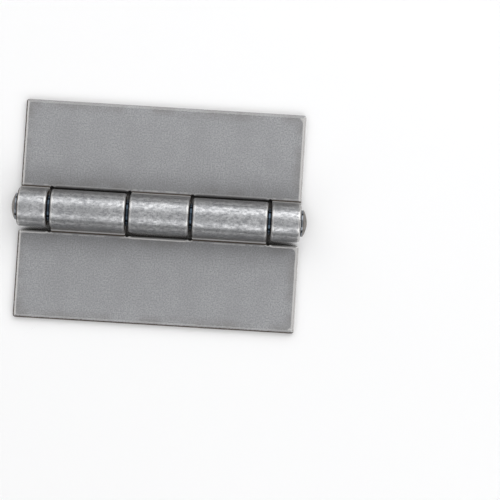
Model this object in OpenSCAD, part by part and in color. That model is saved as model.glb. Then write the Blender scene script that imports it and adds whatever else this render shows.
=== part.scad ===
// Plain weld-on butt hinge, lying open flat on its leaves.
// X runs along the barrel, +Y points to the three-knuckle leaf, +Z points up.
// The origin lies under the middle of the barrel, on the plane of the leaves' undersides.

/* [Leaves] */
// Length of both leaves along the barrel
hinge_length = 100; // [85:1:130]
// Width over both leaves with the hinge open flat
open_width = 78; // [60:1:110]
// Thickness of the sheet that the leaves are cut and curled from
sheet = 2; // [1.7:0.1:2.6]
// Radius on the edges of the sheet
edge_round = 0.8; // [0.3:0.05:0.9]
// Radius of the outer corners of a leaf, seen from above
corner_round = 0.8; // [0.5:0.1:4]

/* [Barrel] */
// Length of each of the two end knuckles
end_knuckle = 10.4; // [7:0.1:14]
// Length of the middle knuckle
middle_knuckle = 21.2; // [12:0.1:28]
// Gap between neighbouring knuckles
knuckle_gap = 1.25; // [0.6:0.05:2]
// Gap between the barrel and the edge of the other leaf's notch
notch_clearance = 1.0; // [0.8:0.05:2.5]
// Diameter of the round relief at the end of each slit
relief_d = 1.6; // [1:0.1:2.4]
// How far a relief reaches into its leaf past the edge of the notch
relief_reach = 0.4; // [0:0.05:1]
// Radius of the outward flare at the end of the curl
flare_r = 12; // [8:0.5:24]
// Gap between the end of the curl and the face of its own leaf
seam_gap = 0.15; // [0.05:0.05:0.4]

/* [Pin] */
// Diameter of the pin
pin_d = 9.5; // [7:0.1:12]
// Radial clearance of the pin in the knuckles
pin_clearance = 0.05; // [0.02:0.01:0.1]
// Length of plain pin that stands out of each end knuckle
pin_stand = 0.85; // [0.2:0.05:2]
// Height of the dome on each end of the pin
dome_rise = 1.4; // [0.6:0.05:3]

/* [Hidden] */
$fn = 96;

leaf_colour = [0.55, 0.56, 0.57];
pin_colour = [0.20, 0.21, 0.23];

bore_r = pin_d / 2 + pin_clearance;
barrel_r = bore_r + sheet;
notch_edge = barrel_r + notch_clearance;
leaf_reach = open_width / 2;
side_knuckle = (hinge_length - 2 * end_knuckle - middle_knuckle - 4 * knuckle_gap) / 2;

// Each knuckle as [start along the barrel, length], from the left end to the right
left_end = -hinge_length / 2;
left_side = left_end + end_knuckle + knuckle_gap;
three_knuckles = [
    [left_end, end_knuckle],
    [-middle_knuckle / 2, middle_knuckle],
    [-left_end - end_knuckle, end_knuckle]
];
two_knuckles = [
    [left_side, side_knuckle],
    [-left_side - side_knuckle, side_knuckle]
];

// The middle of each slit between two knuckles
slits = [
    left_end + end_knuckle + knuckle_gap / 2,
    -(middle_knuckle + knuckle_gap) / 2,
    (middle_knuckle + knuckle_gap) / 2,
    -left_end - end_knuckle - knuckle_gap / 2
];

// The flare turns until its outer face would meet the face of its own leaf
flare_sweep = asin(bore_r / flare_r);

// A strip runs this far into its leaf, past the rounded edge of the notch
strip_root = notch_edge + 2 * edge_round;
relief_centre = notch_edge + relief_reach - relief_d / 2;

dome_base = hinge_length / 2 + pin_stand;
dome_r = (pow(pin_d / 2, 2) + pow(dome_rise, 2)) / (2 * dome_rise);

// Section of the sheet: width along X, thickness along Y, all corners rounded
module sheet_section(width) {
    translate([edge_round, 0])
        square([width - 2 * edge_round, sheet]);
    translate([0, edge_round])
        square([width, sheet - 2 * edge_round]);
    for (x = [edge_round, width - edge_round], y = [edge_round, sheet - edge_round])
        translate([x, y])
            circle(edge_round);
}

// Outline of the flat part of a leaf, seen from above
module plate_outline() {
    translate([left_end, notch_edge])
        square([hinge_length, leaf_reach - notch_edge - corner_round]);
    translate([left_end + corner_round, notch_edge])
        square([hinge_length - 2 * corner_round, leaf_reach - notch_edge]);
    for (x = [left_end + corner_round, -left_end - corner_round])
        translate([x, leaf_reach - corner_round])
            circle(corner_round);
}

// Flat part of a leaf on the +Y side
module plate() {
    intersection() {
        linear_extrude(sheet)
            plate_outline();
        translate([left_end, leaf_reach, 0])
            rotate([90, 0, 0])
                linear_extrude(leaf_reach - notch_edge)
                    sheet_section(hinge_length);
        translate([left_end, notch_edge, 0])
            rotate([90, 0, 90])
                linear_extrude(hinge_length)
                    sheet_section(leaf_reach - notch_edge);
    }
}

// Section of a strip that stands at a radius from its centre of bending
module bent_section(inner_r, length) {
    translate([inner_r + sheet, 0])
        rotate(90)
            sheet_section(length);
}

// End of a curl that flares outwards and lands just above its own leaf
module curl_flare(length) {
    difference() {
        translate([barrel_r + flare_r, 0, 0])
            rotate_extrude(angle = flare_sweep, start = 180)
                bent_section(flare_r, length);
        translate([0, seam_gap - barrel_r, -edge_round])
            cube([barrel_r + flare_r, sheet, length + 2 * edge_round]);
    }
}

// Strip of sheet that leaves the plate, runs under the pin and curls back round it
module knuckle(start, length) {
    translate([start, strip_root, 0])
        rotate([90, 0, 0])
            linear_extrude(strip_root)
                sheet_section(length);
    translate([start, 0, barrel_r])
        rotate([90, 0, 90]) {
            rotate_extrude(angle = 270, start = 0)
                bent_section(bore_r, length);
            curl_flare(length);
        }
}

// One leaf on the +Y side with the knuckles of a list
module leaf(knuckles) {
    difference() {
        union() {
            plate();
            for (k = knuckles)
                knuckle(k[0], k[1]);
        }
        for (x = slits)
            translate([x, relief_centre, -sheet])
                cylinder(d = relief_d, h = 2 * sheet + seam_gap / 2);
    }
}

module three_knuckle_leaf() {
    color(leaf_colour)
        leaf(three_knuckles);
}

module two_knuckle_leaf() {
    color(leaf_colour)
        mirror([0, 1, 0])
            leaf(two_knuckles);
}

// Half section of one end of the pin, from the middle of its length
module pin_half() {
    square([pin_d / 2, dome_base]);
    intersection() {
        translate([0, dome_base])
            square([pin_d / 2, dome_rise]);
        translate([0, dome_base + dome_rise - dome_r])
            circle(dome_r);
    }
}

module hinge_pin() {
    color(pin_colour)
        translate([0, 0, barrel_r])
            rotate([0, 90, 0])
                rotate_extrude()
                    union() {
                        pin_half();
                        mirror([0, 1])
                            pin_half();
                    }
}

three_knuckle_leaf();
two_knuckle_leaf();
hinge_pin();
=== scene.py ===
import math

import bmesh
import bpy
import numpy as np
from mathutils import Matrix, Vector
from mathutils.geometry import delaunay_2d_cdt


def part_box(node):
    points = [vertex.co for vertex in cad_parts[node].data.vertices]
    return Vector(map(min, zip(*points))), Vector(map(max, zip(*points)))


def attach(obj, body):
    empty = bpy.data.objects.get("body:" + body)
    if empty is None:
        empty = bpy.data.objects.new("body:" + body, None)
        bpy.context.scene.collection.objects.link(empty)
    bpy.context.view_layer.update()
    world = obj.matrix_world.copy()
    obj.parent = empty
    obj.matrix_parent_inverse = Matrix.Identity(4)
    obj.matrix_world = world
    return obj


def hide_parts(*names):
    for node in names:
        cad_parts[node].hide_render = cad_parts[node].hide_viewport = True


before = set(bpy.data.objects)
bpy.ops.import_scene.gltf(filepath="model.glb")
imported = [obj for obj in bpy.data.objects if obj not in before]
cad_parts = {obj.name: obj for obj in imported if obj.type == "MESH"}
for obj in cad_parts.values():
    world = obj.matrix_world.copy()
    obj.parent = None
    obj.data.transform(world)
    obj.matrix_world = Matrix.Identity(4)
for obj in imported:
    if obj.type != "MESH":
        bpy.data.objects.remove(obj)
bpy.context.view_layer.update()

# Plain weld-on butt hinge of bare steel, lying open flat on a pale floor.
# Each leaf is made as its maker makes it: a flat blank is cut out, its edges are rubbed round,
# and its strips are curled round the pin. A place on the blank is given as x along the barrel,
# run away from the line where the curl starts (negative on the strip) and lift above mid-thickness.

# Sizes in metres
MM = 0.001
SHEET = 2 * MM
EDGE_ROUND = 0.8 * MM
RIM_ROUND = 0.8 * MM
BORE_ROUND = 0.4 * MM
ROUND_RAMP = 3 * MM
CORNER_ROUND = 0.9 * MM
END_KNUCKLE = 10.4 * MM
MIDDLE_KNUCKLE = 21.2 * MM
KNUCKLE_GAP = 1.25 * MM
NOTCH_CLEARANCE = 1.0 * MM
RELIEF_R = 0.8 * MM
RELIEF_REACH = 0.4 * MM
RELIEF_ROUND = 0.3 * MM
FLARE_R = 12 * MM
SEAM_GAP = 0.15 * MM
TIP_CORNER = 0.35 * MM
TIP_ROUND = 0.25 * MM
DOME_RISE = 1.4 * MM
PIN_RIM_ROUND = 0.25 * MM

# Sizes taken from the frame
_, leaf_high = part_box("three_knuckle_leaf")
pin_low, pin_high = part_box("hinge_pin")
HALF_LENGTH = leaf_high.x
LEAF_REACH = leaf_high.y
BARREL_R = leaf_high.z / 2
PIN_R = (pin_high.z - pin_low.z) / 2
PIN_HALF = pin_high.x

# Sizes that follow from those
NOTCH_EDGE = BARREL_R + NOTCH_CLEARANCE
CURL_TURN = math.radians(270)
CURL_MID_R = BARREL_R - SHEET / 2
CURL_RUN = CURL_MID_R * CURL_TURN
FLARE_MID_R = FLARE_R + SHEET / 2
TIP_DROP = BARREL_R - SHEET - SEAM_GAP
FLARE_RUN = FLARE_MID_R * math.asin(TIP_DROP / FLARE_MID_R)
TIP = -CURL_RUN - FLARE_RUN
RELIEF_RUN = NOTCH_EDGE + RELIEF_REACH - RELIEF_R
ON_RELIEF = 1.01 * RELIEF_R
SEAM = BARREL_R + FLARE_R - math.sqrt(FLARE_R ** 2 - TIP_DROP ** 2)

# Start and end of each knuckle along the barrel
SIDE_START = -HALF_LENGTH + END_KNUCKLE + KNUCKLE_GAP
SIDE_END = -MIDDLE_KNUCKLE / 2 - KNUCKLE_GAP
THREE_KNUCKLES = [
    (-HALF_LENGTH, -HALF_LENGTH + END_KNUCKLE),
    (-MIDDLE_KNUCKLE / 2, MIDDLE_KNUCKLE / 2),
    (HALF_LENGTH - END_KNUCKLE, HALF_LENGTH),
]
TWO_KNUCKLES = [(SIDE_START, SIDE_END), (-SIDE_END, -SIDE_START)]

# The middle of each slit between two knuckles
INNER_SLIT = (MIDDLE_KNUCKLE + KNUCKLE_GAP) / 2
OUTER_SLIT = HALF_LENGTH - END_KNUCKLE - KNUCKLE_GAP / 2
SLITS = [-OUTER_SLIT, -INNER_SLIT, INNER_SLIT, OUTER_SLIT]

# How finely the meshes are made
EDGE_STEP = 1.0 * MM
STRIP_STEP = 0.4 * MM
PLATE_STEP = 1.5 * MM
GRID_MARGIN = 0.6 * STRIP_STEP
CORNER_STEPS = 6
RELIEF_STEPS = 10
ROUND_STEPS = 7
PIN_SIDES = 96
SHANK_ROWS = 60
DOME_STEPS = 14

# Where the steel is burnished by curling, and where the knuckles' lower flanks get painted shade
BURNISH_FROM = 3 * MM
BURNISH_RAMP = 4 * MM
FLANK_LOW = 1.5 * BARREL_R
FLANK_HIGH = 1.86 * BARREL_R
FLANK_FRONT = 0.45
FLARE_UNSHADED = 0.3

# How much of the bright wear is taken off as painted shade on edges that face the front, and on the far
# edge of the back leaf
FRONT_UNLIT = 0.88
FAR_UNLIT = 0.8

# Sizes of marks on the steel, in millimetres
SHEET_GRAIN = 0.5
SHEET_CLOUD = 8.0
KNUCKLE_PATCH = 0.65
PIN_GRAIN = 0.4
PIN_CLOUD = 4.0
DOME_PATCH = 1.1
PIT = 0.4
PATCH_SQUEEZE = (0.45, 1, 1)
RAGGED_EDGE = 0.9
# Size of the breaks in the painted highlight beside the seam
BROKEN_HIGHLIGHT = 2.5
# Where the painted shade on the faces beside the barrel starts and where it is full, from the notch edge
SHADE_FROM_NOTCH = 11
SHADE_TO_NOTCH = -3
BUMP_HEIGHT = 0.02 * MM

# Lines across a strip or round the pin, in millimetres: how far out they end, and how far out they are full
# The seam line and the lines at the tip are painted shade; the line past the seam and the strip at the tip
# are painted highlight
SEAM_LINE = (0.6, 0.3)
HIGHLIGHT_PAST_SEAM = 0.9
HIGHLIGHT_LINE = (0.35, 0.1)
TIP_LINE_PAST_TIP = 2.2
TIP_LINE = (0.8, 0.3)
TIP_STRIP = (1.8, 1.0)
TIP_SHADE = (0.4, 0.1)
# A painted highlight line round the pin in each slit, and where the lighter steel beyond the knuckles
# starts
SLIT_HIGHLIGHT_LINE = (0.42, 0.1)
STAND_RISE = (0.1, 0.5)

# Bounds of the wear at an edge. A place is 1 on the cut wall, 0 where the rounding starts, and negative on
# the face, counted in edge radii.
SOIL_RISE = (-5.0, -0.5)
RAGGEDNESS = 0.28
SHEET_BRIGHT_FROM = -0.3
KNUCKLE_BRIGHT_FROM = -0.2
BRIGHT_BLUR = 0.12
CUT_FROM = 0.74
# Where the cut's brown starts on edges with painted shade
SHADED_CUT_FROM = 0.24
CUT_BLUR = 0.16

# How strongly the marks show, from 0 to 1
SHEET_CLOUDING = 0.32
# The next one is how strong the painted shade on the faces beside the barrel is
BARREL_SHADING = 0.45
SOILING = 0.45
KNUCKLE_CLOUDING = 0.35
PITTING = 0.6
# The next one is how strong the painted shade on the knuckles' flanks is
FLANK_SHADING = 0.5
# The next three are how strong the painted shade along the tip and the painted highlights at the tip and
# beside the seam are
TIP_LINE_SHADE = 0.6
TIP_HIGHLIGHT = 0.7
SEAM_HIGHLIGHT = (0.1, 0.5)
KNUCKLE_BRIGHT = 0.7
# The next one is how much of the bright edge stays on the flanks with painted shade
FLANK_BRIGHT = 0.4
# The next one is how strong the painted highlight line on the pin is
SLIT_HIGHLIGHT_STRENGTH = (0.4, 1.0)

# Roughness, from a dark mark to a light one where there are two, then how metallic and how bumpy
SHEET_ROUGH = (0.62, 0.54)
KNUCKLE_ROUGH = (0.46, 0.3)
BRIGHT_ROUGH = 0.26
# The next one is the roughness of the painted shade at the seam and tip and of the cut walls
SHADE_AND_CUT_ROUGH = 0.7
SHANK_ROUGH = (0.16, 0.09)
DOME_ROUGH = (0.5, 0.38)
SHEET_METAL = 0.5
KNUCKLE_METAL = 1.0
TIP_METAL = 0.25
# The next one is how metallic the painted shade at the seam and tip and the cut walls are
SHADE_AND_CUT_METAL = 0.1
PIN_METAL = 1.0
LEAF_BUMP = 0.25
PIN_BUMP = 0.3

# Colours of the steel
FACE_DARK = (0.265, 0.2685, 0.276, 1)
FACE_LIGHT = (0.42, 0.4235, 0.435, 1)
# Painted shade on the faces beside the barrel
FACE_SHADE = (0.16, 0.161, 0.164, 1)
RUBBED_DARK = (0.26, 0.265, 0.275, 1)
RUBBED_LIGHT = (0.66, 0.665, 0.675, 1)
PIT_GREY = (0.12, 0.12, 0.125, 1)
# Painted shade on the lower flanks of the knuckles
FLANK_SHADE_BROWN = (0.16, 0.146, 0.132, 1)
# Worn bare steel along the edges, also a painted highlight on their rounding
WORN_EDGE_HIGHLIGHT = (0.62, 0.612, 0.6, 1)
SOIL_BROWN = (0.2, 0.188, 0.178, 1)
# Brown of the cut walls, also used for painted shade in the seam, at the tip and on shaded edges
CUT_AND_SHADE_BROWN = (0.07, 0.054, 0.043, 1)
# The shank is painted dark as shade, with a painted blue highlight in the slits; outside the barrel it is
# lighter
SHANK_SHADE = (0.004, 0.005, 0.007, 1)
SHANK_HIGHLIGHT = (0.07, 0.098, 0.13, 1)
STAND_STEEL = (0.2, 0.22, 0.25, 1)
DOME_DARK = (0.16, 0.147, 0.135, 1)
DOME_LIGHT = (0.27, 0.252, 0.235, 1)

# Floor and surroundings
PAPER_WHITE = (0.925, 0.925, 0.925, 1)
NOOK_SHADE = (0.08, 0.076, 0.072, 1)
NOOK_REACH = 15 * MM
NOOK_CLOSED = 0.25
NOOK_OPEN = 0.45
NOOK_SAMPLES = 16
PAPER_ROUGH = 0.9
FLOOR_LIFT = 0.02
FLOOR_HALF = 3.0
FLOOR_DROP = 0.02 * MM
ZENITH_GREY = (0.28, 0.28, 0.285, 1)
HORIZON_GREY = (0.075, 0.075, 0.077, 1)
ZENITH_FROM = 0.9
LAMP_DISTANCE = 0.9
BOX_LEAN = 49

# The camera looks almost straight down. Its angles are in degrees and its shifts in metres.
IMAGE_SIDE = 500
FOCAL_PIXELS = 2000
SENSOR = 36.0
CAMERA_TILT = 2.98
CAMERA_PAN = 0.05
CAMERA_ROLL = -3.5
CAMERA_SHIFT = (32.11 * MM, -12.09 * MM)
CAMERA_DISTANCE = 714.1 * MM
CAMERA_CLIP = 10 * MM


# Blank of a leaf

def arc(centre, radius, first, last, steps):
    """Points from one angle to another, in degrees, both ends included."""
    turn = np.radians(np.linspace(first, last, steps + 1))
    return [(centre[0] + radius * math.cos(a), centre[1] + radius * math.sin(a)) for a in turn]


def round_corner(x, run, first, radius=CORNER_ROUND):
    """A quarter turn at an outer corner of the blank, from one angle in degrees."""
    side_x = math.copysign(1, math.cos(math.radians(first + 45)))
    side_run = math.copysign(1, math.sin(math.radians(first + 45)))
    centre = (x - side_x * radius, run - side_run * radius)
    return arc(centre, radius, first, first + 90, CORNER_STEPS)


def relief(slit, strip_side):
    """The round bite at the inner corner of a notch: strip_side is -1 where the strip is on its left."""
    centre = (slit, RELIEF_RUN)
    at_notch = math.degrees(math.asin((NOTCH_EDGE - RELIEF_RUN) / RELIEF_R))
    at_strip = math.degrees(math.acos(KNUCKLE_GAP / 2 / RELIEF_R))
    if strip_side < 0:
        return arc(centre, RELIEF_R, 180 + at_strip, at_notch, RELIEF_STEPS)
    return arc(centre, RELIEF_R, 180 - at_notch, -at_strip, RELIEF_STEPS)


def straight_edge(start, end):
    """Points between two corners, closer together along a strip, where the edge will be curled."""
    a, b = np.array(start), np.array(end)
    along_strip = abs(b[1] - a[1]) > abs(b[0] - a[0])
    step = STRIP_STEP if along_strip else EDGE_STEP
    count = max(1, round(np.linalg.norm(b - a) / step))
    return [tuple(a + (b - a) * i / count) for i in range(1, count)]


def blank_outline(knuckles):
    """Edge of a leaf's blank, anticlockwise, as rows of x and run."""
    corners = []
    if knuckles[0][0] > -HALF_LENGTH:
        corners.append(round_corner(-HALF_LENGTH, NOTCH_EDGE, 180))
    for left, right in knuckles:
        if left > -HALF_LENGTH:
            corners.append(relief(left - KNUCKLE_GAP / 2, 1))
        corners.append(round_corner(left, TIP, 180, TIP_CORNER))
        corners.append(round_corner(right, TIP, 270, TIP_CORNER))
        if right < HALF_LENGTH:
            corners.append(relief(right + KNUCKLE_GAP / 2, -1))
    if knuckles[-1][1] < HALF_LENGTH:
        corners.append(round_corner(HALF_LENGTH, NOTCH_EDGE, 270))
    corners.append(round_corner(HALF_LENGTH, LEAF_REACH, 0))
    corners.append(round_corner(-HALF_LENGTH, LEAF_REACH, 90))

    rows = []
    for corner, following in zip(corners, corners[1:] + corners[:1]):
        rows += corner
        rows += straight_edge(corner[-1], following[0])
    return np.array(rows)


def edge_radii(outline):
    """Radius of the edge at each point of the outline, on the under face and on the upper face. The under
    face becomes the outside of the knuckles."""
    run = outline[:, 1]
    stops = [TIP + TIP_CORNER, TIP + ROUND_RAMP, -ROUND_RAMP, ROUND_RAMP]
    under = np.interp(run, stops, [TIP_ROUND, RIM_ROUND, RIM_ROUND, EDGE_ROUND])
    upper = np.interp(run, stops, [TIP_ROUND, BORE_ROUND, BORE_ROUND, EDGE_ROUND])
    for slit in SLITS:
        bitten = np.hypot(outline[:, 0] - slit, run - RELIEF_RUN) < ON_RELIEF
        under[bitten] = RELIEF_ROUND
        upper[bitten] = RELIEF_ROUND
    return under, upper


def inward(points):
    """For each point of a closed outline, the step that moves both its edges inwards by one unit."""
    along = np.roll(points, -1, axis=0) - points
    along /= np.linalg.norm(along, axis=1)[:, None]
    after = np.stack([-along[:, 1], along[:, 0]], axis=1)
    before = np.roll(after, 1, axis=0)
    share = 1 + (after * before).sum(axis=1)
    return (after + before) / share[:, None]


def distance_to_outline(places, outline):
    """Shortest way from each place to a closed outline, and whether the place lies inside it."""
    a, b = outline, np.roll(outline, -1, axis=0)
    span = b - a
    offset = places[:, None, :] - a[None]
    share = np.clip((offset * span).sum(axis=2) / (span * span).sum(axis=1), 0, 1)
    gap = np.linalg.norm(offset - share[..., None] * span, axis=2).min(axis=1)
    above = (a[:, 1] > places[:, None, 1]) != (b[:, 1] > places[:, None, 1])
    climb = np.where(span[:, 1] == 0, 1, span[:, 1])
    cross_x = a[:, 0] + (places[:, None, 1] - a[:, 1]) * span[:, 0] / climb
    inside = (above & (places[:, None, 0] < cross_x)).sum(axis=1) % 2 == 1
    return gap, inside


def face_grid(border):
    """Places inside the border of a leaf's flat face, in close rows on the strips, and their way to it."""
    plate_rows = np.arange(NOTCH_EDGE, LEAF_REACH, PLATE_STEP)
    strip_rows = np.arange(TIP, NOTCH_EDGE, STRIP_STEP)
    plate = np.stack(np.meshgrid(np.arange(-HALF_LENGTH, HALF_LENGTH, PLATE_STEP), plate_rows), axis=-1)
    strip = np.stack(np.meshgrid(np.arange(-HALF_LENGTH, HALF_LENGTH, EDGE_STEP), strip_rows), axis=-1)
    places = np.concatenate([plate.reshape(-1, 2), strip.reshape(-1, 2)])
    gap, inside = distance_to_outline(places, border)
    kept = inside & (gap > GRID_MARGIN)
    return places[kept], gap[kept]


def fill_face(border, grid):
    """Triangles that join the border and the grid, as numbers of border places and then grid places."""
    places = [Vector(p) / MM for p in np.concatenate([border, grid])]
    loop = list(range(len(border)))
    _, _, faces, origin, _, _ = delaunay_2d_cdt(places, [], [loop], 1, 1e-6)
    back = [first[0] for first in origin]
    return [[back[i] for i in face] for face in faces]


# Curling

def ease(share):
    """A smooth step from 0 to 1."""
    share = np.clip(share, 0, 1)
    return share * share * (3 - 2 * share)


def curl(x, run, lift):
    """Curls the strips: places on the blank, and the directions of growing run and lift there."""
    flat = run >= 0
    flared = run < -CURL_RUN
    turn = np.where(flared, 0, CURL_TURN + run / CURL_MID_R)
    share = np.clip((-CURL_RUN - run) / FLARE_RUN, 0, 1)
    sweep = share * np.arcsin(TIP_DROP / (FLARE_MID_R + lift))
    round_r = CURL_MID_R - lift
    flare_r = FLARE_MID_R + lift

    flare_y = BARREL_R + FLARE_R - flare_r * np.cos(sweep)
    flare_z = BARREL_R - flare_r * np.sin(sweep)
    y = np.select([flat, flared], [run, flare_y], round_r * np.cos(turn))
    z = np.select([flat, flared], [SHEET / 2 + lift, flare_z], BARREL_R + round_r * np.sin(turn))
    zero, one = np.zeros_like(run), np.ones_like(run)
    run_y = np.select([flat, flared], [one, -np.sin(sweep)], -np.sin(turn))
    run_z = np.select([flat, flared], [zero, np.cos(sweep)], np.cos(turn))
    place = np.stack([x, y, z], axis=1)
    run_way = np.stack([zero, run_y, run_z], axis=1)
    lift_way = np.stack([zero, -run_z, run_y], axis=1)
    return place, run_way, lift_way


def edge_rings():
    """Rings across the rounded edge, from the under face to the upper one: side of mid-thickness, and angle
    round the edge from its wall."""
    turns = np.linspace(0, math.pi / 2, ROUND_STEPS + 1)
    return [(-1, turn) for turn in turns[::-1]] + [(1, turn) for turn in turns]


def edge_tones(edge, way_in, side):
    """How much painted shade each point of the edge gets: the cut's brown spreads onto it on the left and
    at the very front, and its bright wear is taken off towards the front and at the outer edges of both
    leaves."""
    far = edge[:, 1] > LEAF_REACH - CORNER_ROUND
    outer_left = edge[:, 0] < -HALF_LENGTH + CORNER_ROUND
    facing_left = ease(way_in[:, 0]) * outer_left
    facing_front = ease(side * way_in[:, 1])
    edge_shade = np.maximum(facing_left, far * facing_front)
    edge_unlit = np.maximum(FRONT_UNLIT * facing_front, FAR_UNLIT * far * ease(-way_in[:, 1]))
    return edge_shade, edge_unlit


def knuckle_tones(place, run):
    """How burnished each place is by the curling, and how much painted shade it gets on a lower flank of
    the barrel.
    """
    curled = ease((BURNISH_FROM - run) / BURNISH_RAMP)
    low = ease((FLANK_HIGH - place[:, 2]) / (FLANK_HIGH - FLANK_LOW))
    behind = FLANK_FRONT + (1 - FLANK_FRONT) * ease(0.5 + place[:, 1] / BARREL_R)
    flared = 1 - FLARE_UNSHADED * ease((-CURL_RUN - run) / FLARE_RUN)
    return curled, curled * low * behind * flared


def build_leaf(name, knuckles, side):
    """One leaf, cut, rubbed and curled. side is 1 for the leaf towards +Y and -1 for the other."""
    edge = blank_outline(knuckles)
    under_r, upper_r = edge_radii(edge)
    step_in = inward(edge)
    way_in = step_in / np.linalg.norm(step_in, axis=1)[:, None]
    # Painted shade on the edges, by the side they face
    edge_shade, edge_unlit = edge_tones(edge, way_in, side)
    count = len(edge)

    blank, normals, edge_place, shaded_edge, unlit_edge = [], [], [], [], []
    rings = edge_rings()
    for half, turn in rings:
        radius = upper_r if half > 0 else under_r
        place = edge + step_in * (radius * (1 - math.cos(turn)))[:, None]
        lift = half * (SHEET / 2 - radius + radius * math.sin(turn))
        blank.append(np.column_stack([place, lift]))
        normals.append(np.column_stack([-way_in * math.cos(turn), np.full(count, half * math.sin(turn))]))
        edge_place.append(np.full(count, 1 - turn / (math.pi / 2)))
        shaded_edge.append(edge_shade)
        unlit_edge.append(edge_unlit)

    faces = []
    for ring in range(len(rings) - 1):
        low, high = ring * count, (ring + 1) * count
        for i in range(count):
            j = (i + 1) % count
            faces.append([low + i, low + j, high + j, high + i])

    next_place = len(rings) * count
    for half, ring in ((-1, 0), (1, len(rings) - 1)):
        border = blank[ring][:, :2]
        grid, gap = face_grid(border)
        blank.append(np.column_stack([grid, np.full(len(grid), half * SHEET / 2)]))
        normals.append(np.tile((0, 0, half), (len(grid), 1)))
        edge_place.append(-gap / EDGE_ROUND)
        shaded_edge.append(np.zeros(len(grid)))
        unlit_edge.append(np.zeros(len(grid)))
        for face in fill_face(border, grid):
            numbers = [ring * count + i if i < count else next_place + i - count for i in face]
            faces.append(numbers[::half])
        next_place += len(grid)

    blank, normals = np.concatenate(blank), np.concatenate(normals)
    place, run_way, lift_way = curl(*blank.T)
    normals = normals[:, :1] * (1, 0, 0) + normals[:, 1:2] * run_way + normals[:, 2:] * lift_way
    if side < 0:
        place[:, 1] *= -1
        normals[:, 1] *= -1
        faces = [face[::-1] for face in faces]

    leaf = make_piece(name, place, faces)
    leaf.data.normals_split_custom_set_from_vertices(normals)
    x, run, _ = blank.T
    curled, flank = knuckle_tones(place, run)
    in_strip = np.max([(x > left) & (x < right) for left, right in knuckles], axis=0)
    write_values(leaf, "edge_place", np.concatenate(edge_place))
    write_values(leaf, "shaded_edge", np.concatenate(shaded_edge))
    write_values(leaf, "unlit_edge", np.concatenate(unlit_edge))
    write_values(leaf, "burnish", curled)
    write_values(leaf, "flank", flank)
    write_values(leaf, "strip", in_strip)
    write_places(leaf, "blank_place", blank / MM)
    return leaf


# Pin

def pin_profile():
    """Half outline of the pin from the tip of one dome to the other: x, radius, and how much dome it is."""
    dome_r = (PIN_R ** 2 + DOME_RISE ** 2) / (2 * DOME_RISE)
    half_angle = math.asin(PIN_R / dome_r)
    shank_end = PIN_HALF - DOME_RISE
    end = []
    for a in np.linspace(0, half_angle, DOME_STEPS + 1):
        end.append((PIN_HALF - dome_r * (1 - math.cos(a)), dome_r * math.sin(a), 1))
    shank = [(x, PIN_R, 0) for x in np.linspace(shank_end - PIN_RIM_ROUND, 0, SHANK_ROWS)]
    right = end + shank
    left = [(-x, r, dome) for x, r, dome in right[-2::-1]]
    return np.array(right + left)


def build_pin():
    """The pin, turned as one piece."""
    profile = pin_profile()
    turn = np.linspace(0, 2 * math.pi, PIN_SIDES, endpoint=False)
    rows = profile[1:-1]
    place, dome = [], []
    for x, r, share in rows:
        y, z = r * np.cos(turn), BARREL_R + r * np.sin(turn)
        place.append(np.column_stack([np.full(PIN_SIDES, x), y, z]))
        dome.append(np.full(PIN_SIDES, share))
    tips = np.array([(profile[0][0], 0, BARREL_R), (profile[-1][0], 0, BARREL_R)])
    place, dome = np.concatenate(place + [tips]), np.concatenate(dome + [np.ones(2)])
    first_tip, last_tip = len(place) - 2, len(place) - 1

    faces = []
    for i in range(PIN_SIDES):
        j = (i + 1) % PIN_SIDES
        for row in range(len(rows) - 1):
            low, high = row * PIN_SIDES, (row + 1) * PIN_SIDES
            faces.append([low + i, high + i, high + j, low + j])
        last = (len(rows) - 1) * PIN_SIDES
        faces.append([first_tip, i, j])
        faces.append([last_tip, last + j, last + i])

    pin = make_piece("pin", place, [face[::-1] for face in faces])
    write_values(pin, "dome", dome)
    write_places(pin, "blank_place", place / MM)
    return pin


# Meshes

def make_piece(name, place, faces):
    """A smooth mesh with neighbouring triangles joined to quads."""
    mesh = bpy.data.meshes.new(name)
    mesh.from_pydata(place.tolist(), [], faces)
    bm = bmesh.new()
    bm.from_mesh(mesh)
    triangles = [f for f in bm.faces if len(f.verts) == 3]
    bmesh.ops.join_triangles(
        bm, faces=triangles, angle_face_threshold=math.radians(10), angle_shape_threshold=math.radians(40))
    bm.to_mesh(mesh)
    bm.free()
    mesh.shade_smooth()
    piece = bpy.data.objects.new(name, mesh)
    bpy.context.scene.collection.objects.link(piece)
    return piece


def write_values(piece, name, values):
    layer = piece.data.attributes.new(name, "FLOAT", "POINT")
    layer.data.foreach_set("value", np.asarray(values, np.float32))


def write_places(piece, name, places):
    layer = piece.data.attributes.new(name, "FLOAT_VECTOR", "POINT")
    layer.data.foreach_set("vector", np.asarray(places, np.float32).ravel())


# Nodes

def fill_inputs(tree, node, inputs):
    """Fills the inputs of a node with values or links."""
    for name, value in inputs.items():
        if isinstance(value, bpy.types.NodeSocket):
            tree.links.new(value, node.inputs[name])
        else:
            node.inputs[name].default_value = value


def put(tree, kind, inputs=None, **settings):
    """Adds a node, sets its properties and fills its inputs."""
    made = tree.nodes.new(kind)
    for name, value in settings.items():
        setattr(made, name, value)
    fill_inputs(tree, made, inputs or {})
    return made


def reckon(tree, operation, first, second=0.0):
    return put(tree, "ShaderNodeMath", {0: first, 1: second}, operation=operation).outputs[0]


def rise(tree, value, low, high):
    """0 below low, 1 above high and smooth between, or the other way round where low is the higher one."""
    inputs = {"Value": value, "From Min": low, "From Max": high}
    return put(tree, "ShaderNodeMapRange", inputs, interpolation_type="SMOOTHSTEP").outputs[0]


def spread(tree, value, low, high):
    """Takes 0 to 1 to low to high."""
    inputs = {"Value": value, "To Min": low, "To Max": high}
    return put(tree, "ShaderNodeMapRange", inputs).outputs[0]


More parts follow.
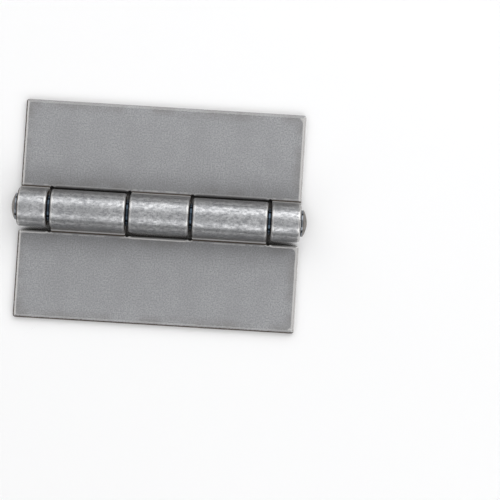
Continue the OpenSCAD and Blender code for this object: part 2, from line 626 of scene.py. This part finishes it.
def line(tree, value, middle, reach):
    """A line where a value is near its middle. reach is how far out it ends and how far out it is full."""
    away = reckon(tree, "ABSOLUTE", reckon(tree, "SUBTRACT", value, middle))
    return rise(tree, away, *reach)


def between(tree, share, first, second):
    """A colour between two colours."""
    return put(tree, "ShaderNodeMix", {0: share, 6: first, 7: second}, data_type="RGBA").outputs[2]


def number_between(tree, share, first, second):
    return put(tree, "ShaderNodeMix", {0: share, 2: first, 3: second}, data_type="FLOAT").outputs[0]


def speckle(tree, place, size, detail, roughness):
    """Noise with patches of about a size, in the units of the place."""
    shrink = reckon(tree, "DIVIDE", 1.0, size)
    scaled = put(tree, "ShaderNodeVectorMath", {0: place, "Scale": shrink}, operation="SCALE").outputs[0]
    inputs = {"Vector": scaled, "Scale": 1.0, "Detail": detail, "Roughness": roughness}
    return put(tree, "ShaderNodeTexNoise", inputs).outputs[0]


def read(tree, name, output="Fac"):
    return put(tree, "ShaderNodeAttribute", attribute_name=name).outputs[output]


def start_material(name):
    """A new material with its node tree and its shader."""
    material = bpy.data.materials.new(name)
    material.use_nodes = True
    tree = material.node_tree
    return material, tree, tree.nodes["Principled BSDF"]


def start_group(name, inputs, outputs):
    """An empty shader node group with named sockets, and its two end nodes."""
    group = bpy.data.node_groups.new(name, "ShaderNodeTree")
    for socket, kind in inputs.items():
        group.interface.new_socket(socket, in_out="INPUT", socket_type=kind)
    for socket in outputs:
        group.interface.new_socket(socket, in_out="OUTPUT", socket_type="NodeSocketFloat")
    return group, group.nodes.new("NodeGroupInput").outputs, group.nodes.new("NodeGroupOutput").inputs


def place_group(tree, group, inputs):
    made = tree.nodes.new("ShaderNodeGroup")
    made.node_tree = group
    fill_inputs(tree, made, inputs)
    return made.outputs


def rolled_grain_group():
    """Fine grain and wide clouds of rolled steel."""
    number = "NodeSocketFloat"
    sockets = {"Place": "NodeSocketVector", "Grain size": number, "Cloud size": number}
    group, given, found = start_group("rolled_grain", sockets, ["Grain", "Cloud"])
    grain = speckle(group, given["Place"], given["Grain size"], detail=2.0, roughness=0.6)
    cloud = speckle(group, given["Place"], given["Cloud size"], detail=3.0, roughness=0.55)
    group.links.new(rise(group, grain, 0.25, 0.75), found["Grain"])
    group.links.new(rise(group, cloud, 0.3, 0.7), found["Cloud"])
    return group


def rubbed_mottle_group():
    """Patches, drawn out along the barrel, and small pits of steel that was rubbed in curling."""
    number = "NodeSocketFloat"
    sockets = {"Place": "NodeSocketVector", "Patch size": number, "Pit size": number}
    group, given, found = start_group("rubbed_mottle", sockets, ["Patches", "Pits"])
    squeeze = {0: given["Place"], 1: PATCH_SQUEEZE}
    drawn = put(group, "ShaderNodeVectorMath", squeeze, operation="MULTIPLY").outputs[0]
    patches = speckle(group, drawn, given["Patch size"], detail=5.0, roughness=0.68)
    pits = speckle(group, given["Place"], given["Pit size"], detail=1.0, roughness=0.5)
    group.links.new(rise(group, patches, 0.3, 0.7), found["Patches"])
    group.links.new(rise(group, pits, 0.62, 0.74), found["Pits"])
    return group


# Steel

def sheet_colour(tree, grain, run):
    """Grey grain and clouds, with painted shade beside the barrel and a little soil along the edges."""
    face = between(tree, grain["Grain"], FACE_DARK, FACE_LIGHT)
    face = between(tree, spread(tree, grain["Cloud"], 0.0, SHEET_CLOUDING), face, FACE_DARK)
    notch = NOTCH_EDGE / MM
    # Painted shade: the faces get darker towards the barrel, which shades them
    shade_beside_barrel = rise(tree, run, notch + SHADE_FROM_NOTCH, notch + SHADE_TO_NOTCH)
    face = between(tree, spread(tree, shade_beside_barrel, 0.0, BARREL_SHADING), face, FACE_SHADE)
    near_edge = rise(tree, read(tree, "edge_place"), *SOIL_RISE)
    soil = reckon(tree, "MULTIPLY", near_edge, grain["Cloud"])
    return between(tree, spread(tree, soil, 0.0, SOILING), face, SOIL_BROWN)


def knuckle_colour(tree, grain, mottle):
    """Brighter rubbed patches with clouds and dark pits."""
    rubbed = between(tree, mottle["Patches"], RUBBED_DARK, RUBBED_LIGHT)
    rubbed = between(tree, spread(tree, grain["Cloud"], 0.0, KNUCKLE_CLOUDING), rubbed, RUBBED_DARK)
    return between(tree, spread(tree, mottle["Pits"], 0.0, PITTING), rubbed, PIT_GREY)


def strip_marks(tree, place, run):
    """Marks across a strip: how much painted shade lies in the seam and at the tip of the curl, how much
    painted highlight lies beside them, and where the tip is."""
    strip = read(tree, "strip")
    past_tip = reckon(tree, "SUBTRACT", run, TIP / MM)
    in_seam = reckon(tree, "MULTIPLY", strip, line(tree, run, SEAM / MM, SEAM_LINE))
    tip_line = spread(tree, line(tree, past_tip, TIP_LINE_PAST_TIP, TIP_LINE), 0.0, TIP_LINE_SHADE)
    at_tip = reckon(tree, "MAXIMUM", rise(tree, past_tip, *TIP_SHADE), tip_line)
    shade_and_cut = reckon(tree, "MAXIMUM", in_seam, at_tip)

    tip_strip = rise(tree, past_tip, *TIP_STRIP)
    broken = rise(tree, speckle(tree, place, BROKEN_HIGHLIGHT, detail=2.0, roughness=0.5), 0.4, 0.6)
    painted_highlight = reckon(tree, "MULTIPLY", strip, line(tree, run, SEAM / MM + HIGHLIGHT_PAST_SEAM, HIGHLIGHT_LINE))
    painted_highlight = reckon(tree, "MULTIPLY", painted_highlight, spread(tree, broken, *SEAM_HIGHLIGHT))
    painted_highlight = reckon(tree, "MAXIMUM", painted_highlight, spread(tree, tip_strip, 0.0, TIP_HIGHLIGHT))
    return shade_and_cut, painted_highlight, tip_strip


def edge_wear_and_light(tree, place, burnish, flank):
    """How bright an edge is worn and lit as a painted highlight, and how much of its brown cut wall shows,
    both with ragged borders.
    """
    ragged = speckle(tree, place, RAGGED_EDGE, detail=3.0, roughness=0.6)
    ragged = spread(tree, ragged, -RAGGEDNESS, RAGGEDNESS)
    worn_place = reckon(tree, "ADD", read(tree, "edge_place"), ragged)
    # The bright edge line is worn steel and partly a painted highlight, kept fainter on the knuckles and on
    # their shaded flanks
    bright_from = number_between(tree, burnish, SHEET_BRIGHT_FROM, KNUCKLE_BRIGHT_FROM)
    bright = rise(tree, reckon(tree, "SUBTRACT", worn_place, bright_from), -BRIGHT_BLUR, BRIGHT_BLUR)
    bright = reckon(tree, "MULTIPLY", bright, spread(tree, burnish, 1.0, KNUCKLE_BRIGHT))
    bright = reckon(tree, "MULTIPLY", bright, spread(tree, flank, 1.0, FLANK_BRIGHT))
    # Painted shade: the bright wear is taken off edges that face the front and off the far edges, and the
    # cut's brown spreads over the rounding on the left and at the very front
    bright = reckon(tree, "MULTIPLY", bright, spread(tree, read(tree, "unlit_edge"), 1.0, 0.0))
    cut_from = spread(tree, read(tree, "shaded_edge"), CUT_FROM, SHADED_CUT_FROM)
    cut = rise(tree, reckon(tree, "SUBTRACT", worn_place, cut_from), 0.0, CUT_BLUR)
    return bright, cut


def leaf_steel(grain_group, mottle_group):
    """Bare rolled steel: grey faces, brighter rubbed knuckles, bright worn edges with painted highlight,
    brown cut walls, and painted shade and highlight beside the barrel, on its flanks, at its seams and on
    some edges.
    """
    material, tree, shader = start_material("leaf_steel")
    place = read(tree, "blank_place", "Vector")
    burnish = read(tree, "burnish")
    flank = read(tree, "flank")
    run = put(tree, "ShaderNodeSeparateXYZ", {0: place}).outputs[1]
    grain_sizes = {"Place": place, "Grain size": SHEET_GRAIN, "Cloud size": SHEET_CLOUD}
    grain = place_group(tree, grain_group, grain_sizes)
    mottle = place_group(tree, mottle_group, {"Place": place, "Patch size": KNUCKLE_PATCH, "Pit size": PIT})

    colour = between(tree, burnish, sheet_colour(tree, grain, run), knuckle_colour(tree, grain, mottle))
    # Painted shade on the lower flanks of the knuckles, stronger behind the barrel than in front
    colour = between(tree, spread(tree, flank, 0.0, FLANK_SHADING), colour, FLANK_SHADE_BROWN)
    # Painted shade in the seam and at the tip of the curl, and painted highlight beside the seam and on the
    # strip at the tip
    shade_and_cut, painted_highlight, tip_strip = strip_marks(tree, place, run)
    bright, cut = edge_wear_and_light(tree, place, burnish, flank)
    bright = reckon(tree, "MAXIMUM", bright, painted_highlight)
    shade_and_cut = reckon(tree, "MAXIMUM", shade_and_cut, cut)
    colour = between(tree, bright, colour, WORN_EDGE_HIGHLIGHT)
    colour = between(tree, shade_and_cut, colour, CUT_AND_SHADE_BROWN)

    rough = spread(tree, grain["Grain"], *SHEET_ROUGH)
    rough = number_between(tree, burnish, rough, spread(tree, mottle["Patches"], *KNUCKLE_ROUGH))
    rough = number_between(tree, bright, rough, BRIGHT_ROUGH)
    rough = number_between(tree, shade_and_cut, rough, SHADE_AND_CUT_ROUGH)
    metal = number_between(tree, burnish, SHEET_METAL, KNUCKLE_METAL)
    metal = number_between(tree, tip_strip, metal, TIP_METAL)
    metal = number_between(tree, shade_and_cut, metal, SHADE_AND_CUT_METAL)
    height = number_between(tree, burnish, grain["Grain"], mottle["Patches"])
    bump = put(tree, "ShaderNodeBump", {"Height": height, "Strength": LEAF_BUMP, "Distance": BUMP_HEIGHT})

    tree.links.new(colour, shader.inputs["Base Color"])
    tree.links.new(rough, shader.inputs["Roughness"])
    tree.links.new(metal, shader.inputs["Metallic"])
    tree.links.new(bump.outputs[0], shader.inputs["Normal"])
    return material


def pin_steel(grain_group, mottle_group):
    """Bar steel painted dark as shade inside the barrel, with a painted blue highlight line in each slit,
    lighter steel where it stands out of the barrel, and dull brownish grey ends.
    """
    material, tree, shader = start_material("pin_steel")
    place = read(tree, "blank_place", "Vector")
    dome = read(tree, "dome")
    grain_sizes = {"Place": place, "Grain size": PIN_GRAIN, "Cloud size": PIN_CLOUD}
    grain = place_group(tree, grain_group, grain_sizes)
    mottle = place_group(tree, mottle_group, {"Place": place, "Patch size": DOME_PATCH, "Pit size": PIT})

    from_middle = reckon(tree, "ABSOLUTE", put(tree, "ShaderNodeSeparateXYZ", {0: place}).outputs[0])
    # Painted shade and highlight: the shank is near black with a blue highlight line in each slit, and
    # lighter where it stands out of the barrel
    inner_line = line(tree, from_middle, INNER_SLIT / MM, SLIT_HIGHLIGHT_LINE)
    outer_line = line(tree, from_middle, OUTER_SLIT / MM, SLIT_HIGHLIGHT_LINE)
    slit_highlight = reckon(tree, "MAXIMUM", inner_line, outer_line)
    slit_highlight = reckon(tree, "MULTIPLY", slit_highlight, spread(tree, grain["Cloud"], *SLIT_HIGHLIGHT_STRENGTH))
    shank = between(tree, slit_highlight, SHANK_SHADE, SHANK_HIGHLIGHT)
    past_end = reckon(tree, "SUBTRACT", from_middle, HALF_LENGTH / MM)
    shank = between(tree, rise(tree, past_end, *STAND_RISE), shank, STAND_STEEL)
    end = between(tree, mottle["Patches"], DOME_DARK, DOME_LIGHT)

    shank_rough = spread(tree, grain["Grain"], *SHANK_ROUGH)
    rough = number_between(tree, dome, shank_rough, spread(tree, mottle["Patches"], *DOME_ROUGH))
    patches = {"Height": mottle["Patches"], "Strength": PIN_BUMP, "Distance": BUMP_HEIGHT}
    bump = put(tree, "ShaderNodeBump", patches)
    tree.links.new(between(tree, dome, shank, end), shader.inputs["Base Color"])
    tree.links.new(rough, shader.inputs["Roughness"])
    tree.links.new(bump.outputs[0], shader.inputs["Normal"])
    shader.inputs["Metallic"].default_value = PIN_METAL
    return material


# Stage

def floor_paper():
    """Pale paper that shows a little lighter to the camera and in the metal, with painted shade in closed
    nooks.
    """
    material, tree, shader = start_material("floor_paper")
    # Painted shade: ambient occlusion darkens the paper's colour in closed nooks
    nook = put(tree, "ShaderNodeAmbientOcclusion", {"Distance": NOOK_REACH}, samples=NOOK_SAMPLES)
    open_share = rise(tree, nook.outputs["AO"], NOOK_CLOSED, NOOK_OPEN)
    path = tree.nodes.new("ShaderNodeLightPath").outputs
    seen = reckon(tree, "MAXIMUM", path["Is Camera Ray"], path["Is Glossy Ray"])
    seen = reckon(tree, "MAXIMUM", seen, path["Is Transmission Ray"])
    lift = reckon(tree, "MULTIPLY", reckon(tree, "MULTIPLY", seen, open_share), FLOOR_LIFT)
    tree.links.new(between(tree, open_share, NOOK_SHADE, PAPER_WHITE), shader.inputs["Base Color"])
    tree.links.new(lift, shader.inputs["Emission Strength"])
    shader.inputs["Emission Color"].default_value = (1, 1, 1, 1)
    shader.inputs["Roughness"].default_value = PAPER_ROUGH
    shader.inputs["Specular IOR Level"].default_value = 0.0
    return material


def build_floor():
    """A wide plain floor just under the hinge."""
    corners = [(-1, -1), (1, -1), (1, 1), (-1, 1)]
    places = [(x * FLOOR_HALF, y * FLOOR_HALF, -FLOOR_DROP) for x, y in corners]
    mesh = bpy.data.meshes.new("floor")
    mesh.from_pydata(places, [], [(0, 1, 2, 3)])
    mesh.materials.append(floor_paper())
    floor = bpy.data.objects.new("floor", mesh)
    bpy.context.scene.collection.objects.link(floor)


def softbox(name, lean, aside, width, height, glow):
    """A soft light over the hinge. lean is its angle from straight up, towards +Y, in degrees, aside its
    angle towards +X, and glow how bright its face is."""
    light = bpy.data.lights.new(name, "AREA")
    light.shape = "RECTANGLE"
    light.size, light.size_y = width, height
    light.energy = glow * math.pi * width * height
    box = bpy.data.objects.new(name, light)
    turn = Matrix.Rotation(math.radians(-lean), 4, "X") @ Matrix.Rotation(math.radians(aside), 4, "Y")
    box.matrix_world = turn @ Matrix.Translation((0, 0, LAMP_DISTANCE))
    box.visible_camera = False
    bpy.context.scene.collection.objects.link(box)


def light_stage():
    """A wide soft light overhead, softboxes behind and in front of the barrel, and a grey room."""
    softbox("overhead_softbox", lean=-2, aside=0, width=2.6, height=0.9, glow=0.41)
    softbox("back_softbox", lean=BOX_LEAN, aside=27, width=1.1, height=0.76, glow=1.8)
    softbox("back_left_softbox", lean=BOX_LEAN, aside=-31, width=0.9, height=0.76, glow=1.2)
    softbox("front_softbox", lean=-BOX_LEAN, aside=28, width=1.0, height=0.5, glow=1.75)
    softbox("front_left_softbox", lean=-BOX_LEAN, aside=-28, width=0.9, height=0.5, glow=1.0)
    world = bpy.data.worlds.new("studio")
    world.use_nodes = True
    tree = world.node_tree
    way = put(tree, "ShaderNodeTexCoord").outputs["Generated"]
    height = put(tree, "ShaderNodeSeparateXYZ", {0: way}).outputs[2]
    grey = between(tree, rise(tree, height, 0.0, ZENITH_FROM), HORIZON_GREY, ZENITH_GREY)
    tree.links.new(grey, tree.nodes["Background"].inputs["Color"])
    bpy.context.scene.world = world


def set_camera():
    camera = bpy.data.cameras.new("camera")
    camera.sensor_width = SENSOR
    camera.lens = FOCAL_PIXELS / IMAGE_SIDE * SENSOR
    camera.clip_start = CAMERA_CLIP
    view = bpy.data.objects.new("camera", camera)
    turn = Matrix.Rotation(math.radians(CAMERA_TILT), 4, "X")
    turn = turn @ Matrix.Rotation(math.radians(-CAMERA_PAN), 4, "Y")
    turn = turn @ Matrix.Rotation(math.radians(-CAMERA_ROLL), 4, "Z")
    view.matrix_world = turn @ Matrix.Translation((*CAMERA_SHIFT, CAMERA_DISTANCE))
    bpy.context.scene.collection.objects.link(view)
    bpy.context.scene.camera = view


def dress(piece, node, body, material):
    """Gives a piece its material and puts it in the place of its solid."""
    piece.data.materials.append(material)
    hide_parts(node)
    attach(piece, body)


grain_group = rolled_grain_group()
mottle_group = rubbed_mottle_group()
steel = leaf_steel(grain_group, mottle_group)
dress(build_leaf("back_leaf", THREE_KNUCKLES, 1), "three_knuckle_leaf", "fixed_leaf", steel)
dress(build_leaf("front_leaf", TWO_KNUCKLES, -1), "two_knuckle_leaf", "swing_leaf", steel)
dress(build_pin(), "hinge_pin", "fixed_leaf", pin_steel(grain_group, mottle_group))
build_floor()
light_stage()
set_camera()
bpy.context.scene.view_settings.view_transform = "Standard"
